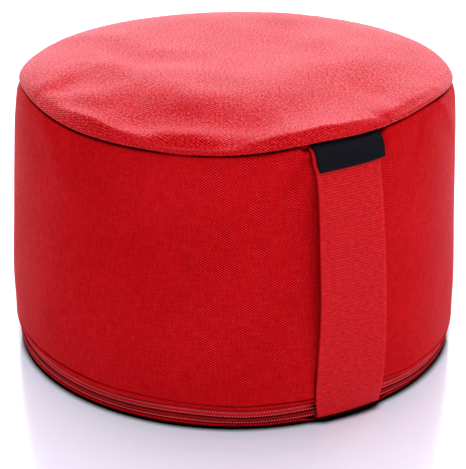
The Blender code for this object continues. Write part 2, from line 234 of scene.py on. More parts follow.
# How the crown droops at its front: azimuth (deg), spread (deg), rise (mm)
FRONT_DROOP = ((-40.0, 38.0, -3.2),)
RIM_FOOT_RADIUS = 153.1 * MM    # inner corner of the rim
RIM_INNER_HEIGHT = 3.4 * MM

# Soft folds of the top panel, as straight ridges (+) and troughs (-):
# azimuth (deg) and radius (mm) of both ends, half width (mm), height (mm)
CROWN_FOLDS = (
    (-86.0, 137.9, -78.4, 105.4, 11.6, -1.95),
    (-95.0, 63.4, -66.1, 112.5, 11.4, -0.1),
    (-93.3, 153.1, -103.9, 93.0, 9.2, 1.7),
    (-117.0, 101.8, -110.1, 94.7, 9.8, 0.77),
    (-60.6, 139.4, -34.5, 173.4, 12.5, -3.5),
    (-76.1, 143.1, -30.9, 133.3, 13.0, -2.19),
    (-143.5, 124.5, -146.8, 99.8, 17.7, 0.98),
    (143.7, 83.4, 107.5, 101.4, 23.9, -1.23),
    (-84.8, 140.8, -87.6, 132.9, 5.5, -0.6),
    (-88.7, 121.6, -93.0, 130.9, 9.2, -1.44),
    (-82.3, 132.0, -68.3, 111.5, 11.4, -1.11),
    (-90.7, 138.6, -101.3, 115.5, 11.9, -3.43),
    (-103.5, 113.1, -95.8, 97.3, 12.3, 2.32),
    (-101.4, 124.3, -111.9, 95.3, 8.6, 0.75),
    (-141.7, 96.1, -123.6, 62.5, 13.8, 1.31),
    (-69.8, 156.8, -53.1, 158.8, 21.4, 3.91),
    (-45.7, 170.6, -40.8, 165.6, 13.6, -3.98),
    (-31.5, 136.3, -18.5, 98.5, 24.0, 2.96),
    (-73.1, 105.2, -43.6, 102.8, 24.0, 3.99),
    (-23.3, 128.9, -29.6, 121.2, 16.8, -3.55),
    (125.7, 99.4, 87.8, 73.2, 17.2, 1.69),
    (119.1, 107.6, 106.7, 41.3, 24.0, -2.38),
    (-21.6, 165.6, 12.2, 155.8, 12.9, 3.85),
    (-64.1, 163.8, -79.9, 139.9, 24.0, 3.95),
    (-85.4, 87.5, -6.1, 70.8, 24.0, 2.8),
    (64.0, 81.6, 71.1, 131.8, 24.0, 2.68),
    (154.7, 47.6, -175.2, 102.4, 22.5, -0.83),
    (19.1, 55.7, 55.6, 143.8, 24.0, 2.45),
    (-28.7, 158.5, 20.6, 113.7, 21.8, -2.48),
    (131.4, 122.2, 83.6, 132.4, 24.0, 1.78),
    (-110.1, 35.7, -53.9, 20.9, 23.9, 1.02),
    (-81.1, 145.0, -46.6, 167.8, 9.0, -2.77),
    (-57.1, 141.2, -43.5, 165.0, 7.8, -1.32),
    (-56.6, 166.9, -33.7, 160.8, 4.9, -4.0),
    (-34.5, 131.2, -31.2, 160.6, 8.8, -0.69),
    (-13.4, 151.2, -3.6, 151.5, 8.1, -1.26),
    (0.5, 149.0, 23.9, 171.3, 10.4, -3.68),
    (13.2, 155.4, 35.7, 156.4, 4.2, 2.19),
    (-64.5, 134.6, -44.2, 115.6, 7.3, 0.34),
    (-48.0, 150.5, -36.3, 152.8, 8.9, 2.2),
    (-26.1, 113.3, -27.0, 114.4, 6.8, 0.25),
    (-19.8, 157.3, -15.7, 134.2, 12.4, 1.25),
    (6.7, 140.3, 20.1, 127.2, 12.8, -1.6),
    (-70.6, 160.2, -55.4, 160.1, 4.9, 2.21),
    (-54.9, 155.7, -40.2, 150.8, 9.4, 2.15),
    (-35.8, 128.7, -34.6, 147.6, 7.0, 0.55),
    (-22.6, 128.5, -22.7, 154.3, 16.0, 1.39),
    (-14.3, 164.5, 5.1, 160.4, 9.7, 3.36),
    (0.1, 146.3, 16.4, 147.6, 8.3, 1.02),
    (11.5, 163.2, 33.1, 158.4, 6.3, -3.95),
    (-72.2, 158.7, -64.7, 120.1, 10.0, -0.77),
    (-68.1, 70.1, -49.1, 105.3, 24.0, 1.86),
    (-14.5, 114.5, -14.1, 147.6, 7.1, 0.76),
    (9.9, 144.8, 18.4, 145.1, 6.2, -0.95),
)

# Soft folds of the side band, then its sharper creases: azimuth (deg) and height (mm) of both
# ends, half width (mm), outward height (mm)
SIDE_FOLDS = (
    (-12.5, 196.0, -25.0, 172.0, 9.0, -1.8),
    (-20.0, 196.0, -34.0, 176.0, 10.0, 1.0),
    (-84.0, 198.0, -76.0, 168.0, 9.0, 0.9),
    (35.0, 206.0, 46.0, 172.0, 9.0, 1.0),
    (-10.5, 194.0, -17.5, 177.0, 3.4, -1.9),
    (-12.5, 200.0, -20.0, 186.0, 4.5, 1.0),
    (-11.0, 184.0, -15.0, 171.0, 4.5, 0.8),
    (-80.0, 202.0, -77.0, 195.0, 3.0, -0.6),
    (33.0, 211.0, 41.0, 184.0, 3.0, 0.7),
    (-46.0, 196.0, -52.0, 176.0, 5.0, 0.4),
    (24.0, 205.0, 19.0, 180.0, 5.0, -0.5),
)

# Base panel, from floor to rim, radius and height (mm)
BASE_ROWS = (
    (152.0, 0.0),
    (161.2, 0.0),
    (163.4, 0.4),
    (164.9, 1.7),
    (165.2, 3.1),
    (164.5, 4.4),
    (162.9, 4.6),
    (161.8, 4.2),
)
BASE_CORNER_RADIUS = 161.8 * MM
LOW_RIM = 0.5                   # share of its height that the rim keeps under the strap
LOW_RIM_SLOPE = 1.0 * MM
BODY_FOOT_RADIUS = BASE_CORNER_RADIUS - LOW_RIM_SLOPE - GAP
ZIP_RECESS_RADIUS = 162.8 * MM
RECESS_FOOT = 4.7 * MM
RECESS_TOP = 23.2 * MM

# Zip: heights from foot to top, radii and sizes (mm), and shares
UPPER_TAPE = (9.6, 21.2)
LOWER_TAPE = (4.9, 9.0)
TAPE_RADII = (163.1, 164.9)
COIL_RADIUS = 165.5
COIL_HEIGHTS = (7.0, 10.4)
TOOTH_OVERLAP = 0.35            # how far the teeth of each row reach past the middle
STITCH_HEIGHTS = (14.1, 11.1, 6.0)
TOOTH_HALF = (0.5, 0.8)         # half a tooth's width and depth
STITCH_HALF = (0.45, 0.3)       # half a stitch's height and depth
STITCH_LIFT = 0.12              # a stitch's middle lies this far outside its tape
STITCH_FILL = 0.52              # share of its pitch that a stitch fills
STITCH_SHIFT = 0.37             # each row of stitches begins this share of a pitch further on

# Strap between its two sewn ends, inner face, downwards: radius (mm), height (mm),
# share of the seam's rises and dips, how far the width follows the cushion's curve (0 to 1),
# sideways shift (mm), and how far the left edge stands out beyond the right one (mm)
STRAP_ROWS = (
    (163.3, 186.0, 0.9, 0.95, -3.9, 3.0),
    (166.6, 176.0, 0.75, 0.8, -4.3, 3.8),
    (169.6, 163.0, 0.6, 0.65, -4.7, 2.8),
    (172.4, 143.0, 0.3, 0.5, -4.8, 0.7),
    (174.5, 120.0, 0.1, 0.45, -4.3, -0.9),
    (175.2, 98.0, 0.0, 0.45, -3.4, -2.0),
    (175.3, 76.0, 0.0, 0.45, -3.0, -3.6),
    (175.0, 56.0, 0.0, 0.5, -2.8, -5.6),
    (174.0, 38.0, 0.0, 0.6, -2.6, -6.4),
    (171.8, 24.0, 0.0, 0.75, -1.9, -5.6),
    (169.6, 15.0, 0.0, 0.9, -0.6, -3.6),
    (168.2, 10.0, 0.0, 1.0, 0.4, -2.2),
    (167.5, 6.8, 0.0, 1.0, 0.8, -0.8),
    (166.1, 5.1, 0.0, 1.0, 1.0, 0.0),
    (163.3, 4.55, 0.0, 1.0, 1.0, 0.0),
)
STRAP_TOP_SHIFT = -3.6 * MM     # sideways shift of its sewn end in the top seam
STRAP_TUCK_RADIUS = 153.4 * MM  # its sewn end in the top seam

# Camera of the picture: angles in degrees, distance and height aimed at in metres, lens in mm
CAMERA_AZIMUTH = -28.5
CAMERA_ELEVATION = 24.793
CAMERA_DISTANCE = 1.2306
CAMERA_AIM = 0.072
CAMERA_LENS = 123.03
CAMERA_SENSOR = 36.0
CAMERA_SHIFT = -0.00207
BACK_AZIMUTH = 151.5            # brightest side of the room
BACK_ELEVATION = 30.0
ROOM_DARK = -0.2                # cosine of the way from there at which the room is darkest
FILL_AZIMUTH = -4.0             # soft light in front
FILL_ELEVATION = 26.0
FILL_DISTANCE = 1.8
FILL_SIZE = 1.6
FLOOR_SIZE = 8.0
FLOOR_DROP = 0.2 * MM           # the floor lies this far below the base


# ---------------------------------------------------------------- settings

class CanvasSettings(bpy.types.PropertyGroup):
    """Canvas of the side band, the top panel and the base panel."""

    colour: FloatVectorProperty(
        name="Colour", description="Dyed colour of the canvas", subtype="COLOR",
        size=3, min=0.0, max=1.0, default=(0.60, 0.0045, 0.0075))
    warp: FloatProperty(
        name="Warp pitch", description="Distance from one upright thread to the next",
        unit="LENGTH", min=0.0002, default=1.42 * MM)
    weft: FloatProperty(
        name="Weft pitch", description="Distance from one lying thread to the next",
        unit="LENGTH", min=0.0002, default=0.92 * MM)
    # Painted light and shade of the weave: raised threads lighter, low ones darker.
    contrast: FloatProperty(
        name="Weave contrast", description="How much lighter a raised thread is than a low one",
        min=0.0, max=1.0, default=0.5)
    relief: FloatProperty(
        name="Weave relief", description="Height of a thread over its neighbour",
        unit="LENGTH", min=0.0, default=0.22 * MM)
    sheen: FloatProperty(
        name="Nap", description="Strength of the pale nap that shows at a low angle",
        min=0.0, max=1.0, default=0.01)
    folds: FloatProperty(
        name="Folds", description="Depth of the soft folds, as a share of the modelled depth",
        min=0.0, max=2.0, default=1.0)
    puckers: FloatProperty(
        name="Seam puckers", description="Height of the small puckers along the seams",
        unit="LENGTH", min=0.0, default=0.35 * MM)


class ZipSettings(bpy.types.PropertyGroup):
    """Zip round the foot."""

    colour: FloatVectorProperty(
        name="Tape colour", description="Dyed colour of the zip tapes", subtype="COLOR",
        size=3, min=0.0, max=1.0, default=(0.86, 0.008, 0.016))
    coil_colour: FloatVectorProperty(
        name="Coil colour", description="Colour of the teeth", subtype="COLOR",
        size=3, min=0.0, max=1.0, default=(0.46, 0.006, 0.009))
    pitch: FloatProperty(
        name="Tooth pitch", description="Distance from one tooth to the next on its tape",
        unit="LENGTH", min=0.0005, default=1.9 * MM)
    thread_colour: FloatVectorProperty(
        name="Thread colour", description="Colour of the pale stitches", subtype="COLOR",
        size=3, min=0.0, max=1.0, default=(0.95, 0.24, 0.28))
    stitch: FloatProperty(
        name="Stitch length", description="Distance from one stitch to the next",
        unit="LENGTH", min=0.0005, default=1.9 * MM)


class StrapSettings(bpy.types.PropertyGroup):
    """Carrying strap."""

    colour: FloatVectorProperty(
        name="Colour", description="Dyed colour of the webbing", subtype="COLOR",
        size=3, min=0.0, max=1.0, default=(0.66, 0.0055, 0.0100))
    rib_pitch: FloatProperty(
        name="Rib pitch", description="Distance from one rib to the next",
        unit="LENGTH", min=0.0005, default=1.9 * MM)
    rib_height: FloatProperty(
        name="Rib height", description="Height of a rib over its groove",
        unit="LENGTH", min=0.0, default=0.22 * MM)
    selvedge: FloatProperty(
        name="Selvedge", description="Width of the plain edge on either side",
        unit="LENGTH", min=0.0, default=3.2 * MM)


class LabelSettings(bpy.types.PropertyGroup):
    """Side label."""

    colour: FloatVectorProperty(
        name="Colour", description="Colour of the ribbon", subtype="COLOR",
        size=3, min=0.0, max=1.0, default=(0.0055, 0.006, 0.009))


class StageSettings(bpy.types.PropertyGroup):
    """Floor and lights."""

    floor_colour: FloatVectorProperty(
        name="Floor colour", description="Colour of the pale floor", subtype="COLOR",
        size=3, min=0.0, max=1.0, default=(0.82, 0.86, 0.92))
    floor_blur: FloatProperty(
        name="Floor blur", description="Roughness of the floor's reflection",
        min=0.0, max=1.0, default=0.16)
    floor_glow: FloatVectorProperty(
        name="Floor glow", description="Light that comes through the floor", subtype="COLOR",
        size=3, min=0.0, max=1.0, default=(0.14, 0.18, 0.22))
    light_colour: FloatVectorProperty(
        name="Light colour", description="Colour of the room's light", subtype="COLOR",
        size=3, min=0.0, max=2.0, default=(1.0, 0.96, 1.05))
    front: FloatProperty(
        name="Front light", description="Strength of the room's light from the camera's side",
        min=0.0, default=0.38)
    back: FloatProperty(
        name="Back light", description="Strength of the room's light from behind and above",
        min=0.0, default=3.0)
    fill: FloatProperty(
        name="Right light", description="Power of the soft light in front, on the right",
        unit="POWER", min=0.0, default=10.0)


# ---------------------------------------------------------------- shapes

def apart(azimuth, other=0.0):
    """Signed difference of azimuths, within half a turn: (a - b + 180) mod 360 - 180."""
    return (azimuth - other + 180.0) % TURN - 180.0


def azimuths(columns=COLUMNS, again=0):
    """Even azimuths round the cushion, and again so many of the first ones."""
    return np.arange(columns + again) * TURN / columns


def ease(value, start, stop):
    """Smooth rise from 0 at start to 1 at stop: 3 s^2 - 2 s^3 of the clipped share s."""
    share = np.clip((value - start) / (stop - start), 0.0, 1.0)
    return share * share * (3.0 - 2.0 * share)


def fading(distance, length, start, stop):
    """Share that rises smoothly from start to stop, and dies away as exp(-distance / length)."""
    return np.exp(-np.maximum(distance, 0.0) / length) * ease(distance, start, stop)


def waves(azimuth, table):
    """Sum of bell curves round the cushion: rise times exp(-(turn / spread)^2), in metres."""
    return sum(rise * MM * np.exp(-(apart(azimuth, middle) / spread) ** 2)
               for middle, spread, rise in table)


def foot(azimuth, height):
    """Height of a zip part: its own + the foot's wave, less below FOOT_HEIGHT in proportion."""
    return height + waves(azimuth, FOOT_WAVES) * np.minimum(height / FOOT_HEIGHT, 1.0)


def strap_sector(azimuth, sector):
    """1 where the strap passes through a seam, 0 away from it."""
    shut_left, open_left, open_right, shut_right = sector
    turn = apart(azimuth)
    return ease(turn, shut_left, open_left) * (1.0 - ease(turn, open_right, shut_right))


def seam_rise(azimuth):
    """Rise of the band's top over SEAM_HEIGHT: the seam's waves less the strap's pocket."""
    return waves(azimuth, SEAM_WAVES) - SEAM_POCKET * strap_sector(azimuth, TOP_SECTOR)


def far_side(azimuth):
    """0 at the fullest side of the crown, 1 opposite: (1/2 - 1/2 cos turn) to the power 1.5."""
    return (0.5 - 0.5 * np.cos(np.radians(azimuth - FULL_AZIMUTH))) ** 1.5


def stacked(*parts):
    """Arrays of like or stretchable shapes side by side on a new last axis."""
    return np.stack(np.broadcast_arrays(*parts), axis=-1)


def unit(vectors):
    """Vectors at length 1."""
    return vectors / np.linalg.norm(vectors, axis=-1, keepdims=True)


def in_plan(azimuth, radius):
    """Place seen from above: x = r sin a, y = -r cos a."""
    turn = np.radians(azimuth)
    return radius * np.sin(turn), -radius * np.cos(turn)


def on_side(azimuth, height):
    """Place on the side laid flat: distance round it at its top row, and height."""
    return SIDE_ROWS[-1][0] * MM * np.radians(apart(azimuth)), height


def leaned(points):
    """Points moved towards the lean by its amount times the square of their share of the height."""
    share = (points[..., 2:] / (SEAM_HEIGHT + CROWN_HEIGHT)) ** 2
    return points + share * (*in_plan(LEAN_AZIMUTH, LEAN), 0.0)


def place(radius, azimuth, height):
    """Points at radii, azimuths and heights, leaned."""
    return leaned(stacked(*in_plan(azimuth, radius), height))


def hoops(azimuth, *levels):
    """Rows of (radius, height) at azimuths, one for each level."""
    return np.array([stacked(radius + 0.0 * azimuth, height) for radius, height in levels])


def fold_height(azimuth, along, table, flat):
    """Sum of straight soft folds: each is its height times exp(-(distance to its line / half
    width)^2). The function flat lays a place out in a plane, from its azimuth and its radius or
    height."""
    across, along = flat(azimuth, along)
    total = 0.0
    for a0, b0, a1, b1, half_width, height in table:
        (x0, y0), (x1, y1) = flat(a0, b0 * MM), flat(a1, b1 * MM)
        run, climb = x1 - x0, y1 - y0
        share = ((across - x0) * run + (along - y0) * climb) / (run * run + climb * climb)
        share = np.clip(share, 0.0, 1.0)
        away = np.hypot(across - x0 - share * run, along - y0 - share * climb)
        total = total + height * MM * np.exp(-(away / (half_width * MM)) ** 2)
    return total


def ripple(azimuth, along, seed, orders, drift):
    """Uneven small waves, about -1 to 1: a sum of cosines of whole orders round the cushion, each
    with its own seeded phase, which turns by up to 1 radian over the distance drift."""
    draw = np.random.default_rng(seed)
    total = 0.0
    for order in orders:
        phase, turning = draw.uniform(0.0, 2.0 * math.pi), draw.uniform(-1.0, 1.0) / drift
        total = total + np.cos(np.radians(azimuth) * order + phase + turning * along)
    return total / math.sqrt(len(orders))


def chords(points, guide):
    """Distance along rows of points, measured at one column."""
    steps = np.linalg.norm(np.diff(points[:, guide], axis=0), axis=-1)
    return np.concatenate(([0.0], np.cumsum(steps)))


def neighbours_apart(rows):
    """Next row - row before, at each row. An end row is its own neighbour."""
    return np.concatenate((rows[1:], rows[-1:])) - np.concatenate((rows[:1], rows[:-1]))


def smooth_along(points, step, guide):
    """Smooth curves through rows of points, sampled about a step apart at the guide column (one
    step, or a step for each pair of rows). Between two rows a curve is the cubic whose slopes at
    its ends are those of the line between their neighbours. Returns the new rows and the distance
    along."""
    at = chords(points, guide)
    steps = np.broadcast_to(step, len(at) - 1)
    pieces = [np.linspace(low, high, max(2, math.ceil((high - low) / size)), endpoint=False)
              for low, high, size in zip(at[:-1], at[1:], steps)]
    where = np.concatenate(pieces + [at[-1:]])
    shape = (-1,) + (1,) * (points.ndim - 1)
    slopes = neighbours_apart(points) / neighbours_apart(at).reshape(shape)
    low = np.clip(np.searchsorted(at, where, side="right") - 1, 0, len(at) - 2)
    width = (at[low + 1] - at[low]).reshape(shape)
    s = (where - at[low]).reshape(shape) / width
    rows = (points[low] * (1.0 + 2.0 * s) * (1.0 - s) ** 2
            + slopes[low] * width * s * (1.0 - s) ** 2
            + points[low + 1] * s * s * (3.0 - 2.0 * s)
            - slopes[low + 1] * width * s * s * (1.0 - s))
    return rows, where


def beside(path, distance):
    """Rows of (radius, height) moved to the left of their way by a distance."""
    way = unit(np.gradient(path, axis=0))
    return path + stacked(-way[..., 1], way[..., 0]) * np.asarray(distance)[..., None]


def turned(azimuth, *parts):
    """Points of rows of (radius, height) at azimuths, and the distance along them."""
    rows = np.concatenate(parts)
    points = place(rows[..., 0], azimuth, rows[..., 1])
    return points, chords(points, 0)


# ---------------------------------------------------------------- meshes

def linked(name, data):
    """New object in the scene."""
    thing = bpy.data.objects.new(name, data)
    bpy.context.scene.collection.objects.link(thing)
    return thing


def add_piece(name, points, faces, uvs, material, sharp=50.0):
    """Object with its place in its mesh. Faces is a list of arrays of like faces, uvs a list of
    their corners' (u, v) in metres."""
    mesh = bpy.data.meshes.new(name)
    points = np.asarray(points, np.float32).reshape(-1, 3)
    corners = np.concatenate([np.asarray(part).ravel() for part in faces]).astype(np.int32)
    sizes = np.concatenate([np.full(len(part), part.shape[1]) for part in faces])
    starts = np.concatenate(([0], np.cumsum(sizes)[:-1])).astype(np.int32)
    mesh.vertices.add(len(points))
    mesh.vertices.foreach_set("co", points.ravel())
    mesh.loops.add(len(corners))
    mesh.loops.foreach_set("vertex_index", corners)
    mesh.polygons.add(len(starts))
    mesh.polygons.foreach_set("loop_start", starts)
    mesh.update(calc_edges=True)
    layer = mesh.uv_layers.new(name="weave")
    flat = np.concatenate([np.asarray(part, np.float32).reshape(-1, 2) for part in uvs])
    layer.data.foreach_set("uv", flat.ravel())
    mesh.materials.append(material)
    mesh.shade_smooth()
    mesh.set_sharp_from_angle(angle=math.radians(sharp))
    mesh.validate()
    return linked(name, mesh)


def grid_faces(rows, columns):
    """Quads of rows of rings, and the corners' places in a grid with one more column."""
    row, column = np.meshgrid(np.arange(rows - 1), np.arange(columns), indexing="ij")
    corners = ((row, column), (row, column + 1), (row + 1, column + 1), (row + 1, column))
    faces = np.stack([r * columns + c % columns for r, c in corners], axis=-1).reshape(-1, 4)
    places = np.stack([r * (columns + 1) + c for r, c in corners], axis=-1).reshape(-1, 4)
    return faces, places


def turned_uv(columns, along, flat=False):
    """Cloth coordinates of rings: distance round (u) and along (v). Where flat is set, the panel
    is laid flat about its middle, each ring at its distance along from the last one."""
    azimuth, along = azimuths(columns, 1), along[:, None]
    if flat:
        return stacked(*in_plan(azimuth - CROWN_THREADS, along[-1] - along)).reshape(-1, 2)
    return stacked(np.radians(azimuth) * GIRTH, along).reshape(-1, 2)


def ring_piece(name, points, along, material):
    """Hollow ring round the axis from rows of rings that go once round its section."""
    rows, columns = points.shape[:2]
    faces, places = grid_faces(rows + 1, columns)
    uv = turned_uv(columns, np.append(along, 2.0 * along[-1] - along[-2]))
    return add_piece(name, points, [faces % (rows * columns)], [uv[places]], material)


def turned_piece(name, points, along, material, flat=False):
    """Closed piece from rows of rings round the axis. The first and last ring are on the axis:
    each becomes one point, so that its quads become triangles."""
    rows, columns = points.shape[:2]
    faces, places = grid_faces(rows, columns)
    uv = turned_uv(columns, along, flat)
    parts = ((slice(columns, -columns), slice(None)),
             (slice(columns), [0, 2, 3]),
             (slice(-columns, None), [0, 1, 2]))
    faces = np.clip(faces - columns + 1, 0, (rows - 2) * columns + 1)
    joined = np.concatenate((points[0, :1], points[1:-1].reshape(-1, 3), points[-1, :1]))
    return add_piece(name, joined, [faces[part] for part in parts],
                     [uv[places[part]] for part in parts], material)


def carried_piece(name, points, along, across, material):
    """Closed ribbon. Its rows are sections along the way, and the columns of a section run over
    its one face and back over the other. Both ends are capped."""
    rows, columns = points.shape[:2]
    faces, places = grid_faces(rows, columns)
    uv = stacked(np.append(across, across[0])[None, :], along[:, None]).reshape(-1, 2)
    first = np.arange(columns // 2 - 1)
    cap = np.stack((first, columns - 1 - first, columns - 2 - first, first + 1), axis=-1)
    caps = np.concatenate((cap, cap[:, ::-1] + (rows - 1) * columns))
    cap_uv = stacked(across[caps % columns], along[caps // columns])
    return add_piece(name, points, [faces, caps], [uv[places], cap_uv], material)


def bead_shape(slices=4, sides=6, tip=0.02):
    """Points and faces of a ball: x from -1 to 1 between its ends, radius sqrt(1 - x^2), and
    small flat tips."""
    turn = np.linspace(0.0, math.pi, slices + 1)[:, None]
    side = np.arange(sides) / sides * 2.0 * math.pi
    reach = np.maximum(np.sin(turn), tip)
    points = stacked(-np.cos(turn), reach * np.cos(side), reach * np.sin(side)).reshape(-1, 3)
    faces, _ = grid_faces(slices + 1, sides)
    halves = np.array(((0, 1, 2, 3), (0, 3, 4, 5)))
    return points, np.concatenate((faces, halves[:, ::-1], halves + slices * sides))


def add_beads(name, radius, azimuth, height, sizes, material):
    """Many like beads round the foot as one piece. Each point is its bead's middle + the sum of
    the bead's axes (round the cushion, up and outwards) times the half sizes and the ball's
    coordinates."""
    ball, faces = bead_shape()
    zero = 0.0 * azimuth
    axes = np.stack((stacked(*in_plan(azimuth + TURN / 4.0, 1.0), zero),
                     stacked(zero, zero, zero + 1.0),
                     stacked(*in_plan(azimuth, 1.0), zero)), axis=1)
    middles = place(radius, azimuth, foot(azimuth, height))
    points = middles[:, None] + np.einsum("pk,nkc->npc", ball * sizes, axes)
    count = len(middles)
    every = (faces[None] + np.arange(count)[:, None, None] * len(ball)).reshape(-1, 4)
    return add_piece(name, points, [every], [np.zeros((len(every), 4, 2))], material, sharp=80.0)


# ---------------------------------------------------------------- finishes

class Wiring:
    """Nodes of a material or of the world, wired in few words to its end node. A value is a
    number or another node's output."""

    def __init__(self, owner, end):
        owner.use_nodes = True
        self.owner = owner
        self.tree = owner.node_tree
        self.end = self.tree.nodes[end]

    def put(self, socket, value):
        """Give a socket a constant, or link it to an output."""
        if isinstance(value, bpy.types.NodeSocket):
            self.tree.links.new(value, socket)
        else:
            socket.default_value = value

    def set(self, values):
        """Give the end node's sockets values by their names."""
        for name, value in values.items():
            self.put(self.end.inputs[name], value)

    def node(self, kind, *values, **facts):
        """New node with its properties or named sockets set, and its first sockets' values."""
        node = self.tree.nodes.new(kind)
        for name, fact in facts.items():
            if name in node.inputs:
                self.put(node.inputs[name], fact)
            else:
                setattr(node, name, fact)
        for socket, value in zip(node.inputs, values):
            self.put(socket, value)
        return node

    def math(self, operation, first, second=0.0, third=0.0):
        """One sum of two or three values."""
        return self.node("ShaderNodeMath", first, second, third, operation=operation).outputs[0]

    def times(self, first, *others):
        """Product of values."""
        for other in others:
            first = self.math("MULTIPLY", first, other)
        return first

    def cloth(self):
        """Place on the cloth in metres: across or round it, and along it."""
        uv = self.node("ShaderNodeUVMap", uv_map="weave").outputs[0]
        parts = self.node("ShaderNodeSeparateXYZ", uv)
        return parts.outputs[0], parts.outputs[1]

    def wave(self, value, pitch):
        """sin(pi value / pitch)."""
        return self.math("SINE", self.times(value, math.pi / pitch))

    def thread(self, value, pitch):
        """|sin(pi value / pitch)|."""
        return self.math("ABSOLUTE", self.wave(value, pitch))

    def noise(self, u, v, across, along, detail=2.0):
        """Cloudy noise from 0 to 1 over the cloth, its clouds about across by along metres."""
        u, v = self.times(u, 1.0 / across), self.times(v, 1.0 / along)
        place = self.node("ShaderNodeCombineXYZ", u, v, 0.0).outputs[0]
        return self.node("ShaderNodeTexNoise", Vector=place, Scale=1.0, Detail=detail).outputs[0]

    def ramp(self, value, low, high, start, stop):
        """low up to start, high past stop, and a straight line between them."""
        return self.node("ShaderNodeMapRange", value, start, stop, low, high).outputs[0]

    def wander(self, value, u, v, size, reach):
        """The value moved to and fro by cloudy noise, up to about a reach either way."""
        noise = self.noise(u, v, size, size, 1.0)
        return self.math("MULTIPLY_ADD", self.math("SUBTRACT", noise, 0.5), reach, value)

    def dye_and_painted_shading(self, colour, brightness):
        """The colour times a brightness b in red and b^3 in green and blue, as the shader's colour:
        where b is low the colour is darker and purer, and where it is high lighter and paler. The
        brightness carries painted shade and painted highlight besides the cloth's own tone."""
        cube = self.math("POWER", brightness, 3.0)
        paler = self.node("ShaderNodeCombineXYZ", brightness, cube, cube).outputs[0]
        mixed = self.node("ShaderNodeVectorMath", paler, colour, operation="MULTIPLY")
        self.set({"Base Color": mixed.outputs[0]})

    def shade(self, colour, brightness):
        """The colour times a brightness, as the shader's colour."""
        scaled = self.node("ShaderNodeVectorMath", colour, operation="SCALE", Scale=brightness)
        self.set({"Base Color": scaled.outputs[0]})

    def paint_hollow_shade(self, reach, dark, shut=0.3, clear=0.85):
        """Painted shade of hollows, as a brightness: dark where less than the share shut of the way
        out is clear within a reach, and 1 where more than the share clear is."""
        node = self.node("ShaderNodeAmbientOcclusion", samples=8, Distance=reach)
        return self.ramp(node.outputs["AO"], dark, 1.0, shut, clear)

    def bump(self, height, distance):
        """Relief of a height from 0 to 1 over a distance in metres."""
        node = self.node("ShaderNodeBump", Strength=1.0, Distance=distance, Height=height)
        self.set({"Normal": node.outputs[0]})


def new_finish(name, colour, roughness, gloss=0.5):
    """Wiring of a new material, even all over so far."""
    wiring = Wiring(bpy.data.materials.new(name), "Principled BSDF")
    wiring.set({"Base Color": (*colour, 1.0), "Roughness": roughness, "Specular IOR Level": gloss})
    return wiring


def canvas_finish(name, canvas, nap=(9.0, 1.6), worn=0.12, gloss=0.035, crisp=None, lift=1.0,
                  shine=(1.0, 1.0, 1.0), hollow_shade=(4.5, 0.15, 0.45, 0.8)):
    """Plain weave: threads |sin(pi u / p)| and |sin(pi v / q)|, each raised and lowered in turn by
    the product of the two sines, which also paints the raised ones lighter and the low ones darker,
    as painted light and shade of the weave. The threads wander a little, their contrast comes and
    goes in clouds, and short ones (nap: length and width in mm) are lighter or darker by the share
    worn. Where an azimuth is given as crisp, the weave is crispest there and flatter round the
    sides. Hollows get painted shade (reach in mm, then darkness, shut and clear), and the colour is
    painted lighter by the factor lift, as painted light. The gloss, of the tint shine, grows with
    the fourth power of the tone, and towards a low angle."""
    wiring = new_finish(name, canvas.colour, 0.5)
    u, v = wiring.cloth()
    one = wiring.wave(wiring.wander(u, u, v, THREAD_BEND, 1.1 * MM), canvas.warp)
    two = wiring.wave(wiring.wander(v, v, u, THREAD_BEND, 0.9 * MM), canvas.weft)
    cross = wiring.times(one, two)
    warp = wiring.math("MULTIPLY_ADD", cross, THREAD_RISE, wiring.math("ABSOLUTE", one))
    weft = wiring.math("MULTIPLY_ADD", cross, -THREAD_RISE, wiring.math("ABSOLUTE", two))
    height = wiring.math("DIVIDE", wiring.math("MAXIMUM", warp, weft), 1.0 + THREAD_RISE)
    cloud = wiring.noise(u, v, CONTRAST_CLOUD, CONTRAST_CLOUD)
    share = wiring.times(cross, wiring.ramp(cloud, 0.3, 1.4, 0.3, 0.7))
    if crisp is not None:
        turn = wiring.math("SUBTRACT", wiring.math("DIVIDE", u, GIRTH), math.radians(crisp))
        share = wiring.times(share, wiring.ramp(wiring.math("COSINE", turn),
                                                0.25, 1.1, 0.66, 0.97))
    tone = wiring.math("MULTIPLY_ADD", share, canvas.contrast, 1.0)
    length, width = nap
    for across, along, depth in ((length, width, worn), (width, length, worn), TONE_CLOUD):
        noise = wiring.noise(u, v, across * MM, along * MM)
        tone = wiring.times(tone, wiring.ramp(noise, 1.0 - depth, 1.0 + depth, 0.3, 0.7))
    # painted shade: darker in hollows, at seams, under the band's rolled edge, beside the strap and
    # by the floor
    tone = wiring.times(tone, wiring.paint_hollow_shade(hollow_shade[0] * MM, *hollow_shade[1:]))
    # painted light: the tone times lift paints a whole panel lighter
    wiring.dye_and_painted_shading(canvas.colour, wiring.times(tone, lift))
    facing = wiring.node("ShaderNodeLayerWeight", 0.5).outputs["Facing"]
    shiny = wiring.times(wiring.math("POWER", tone, 4.0), gloss,
                         wiring.ramp(facing, 0.22, 1.16, 0.12, 0.68))
    wiring.set({"Specular Tint": (*shine, 1.0), "Specular IOR Level": shiny,
                "Sheen Weight": canvas.sheen, "Sheen Roughness": 0.35,
                "Sheen Tint": (1.0, 0.82, 0.86, 1.0)})
    wiring.bump(height, canvas.relief)
    return wiring.owner


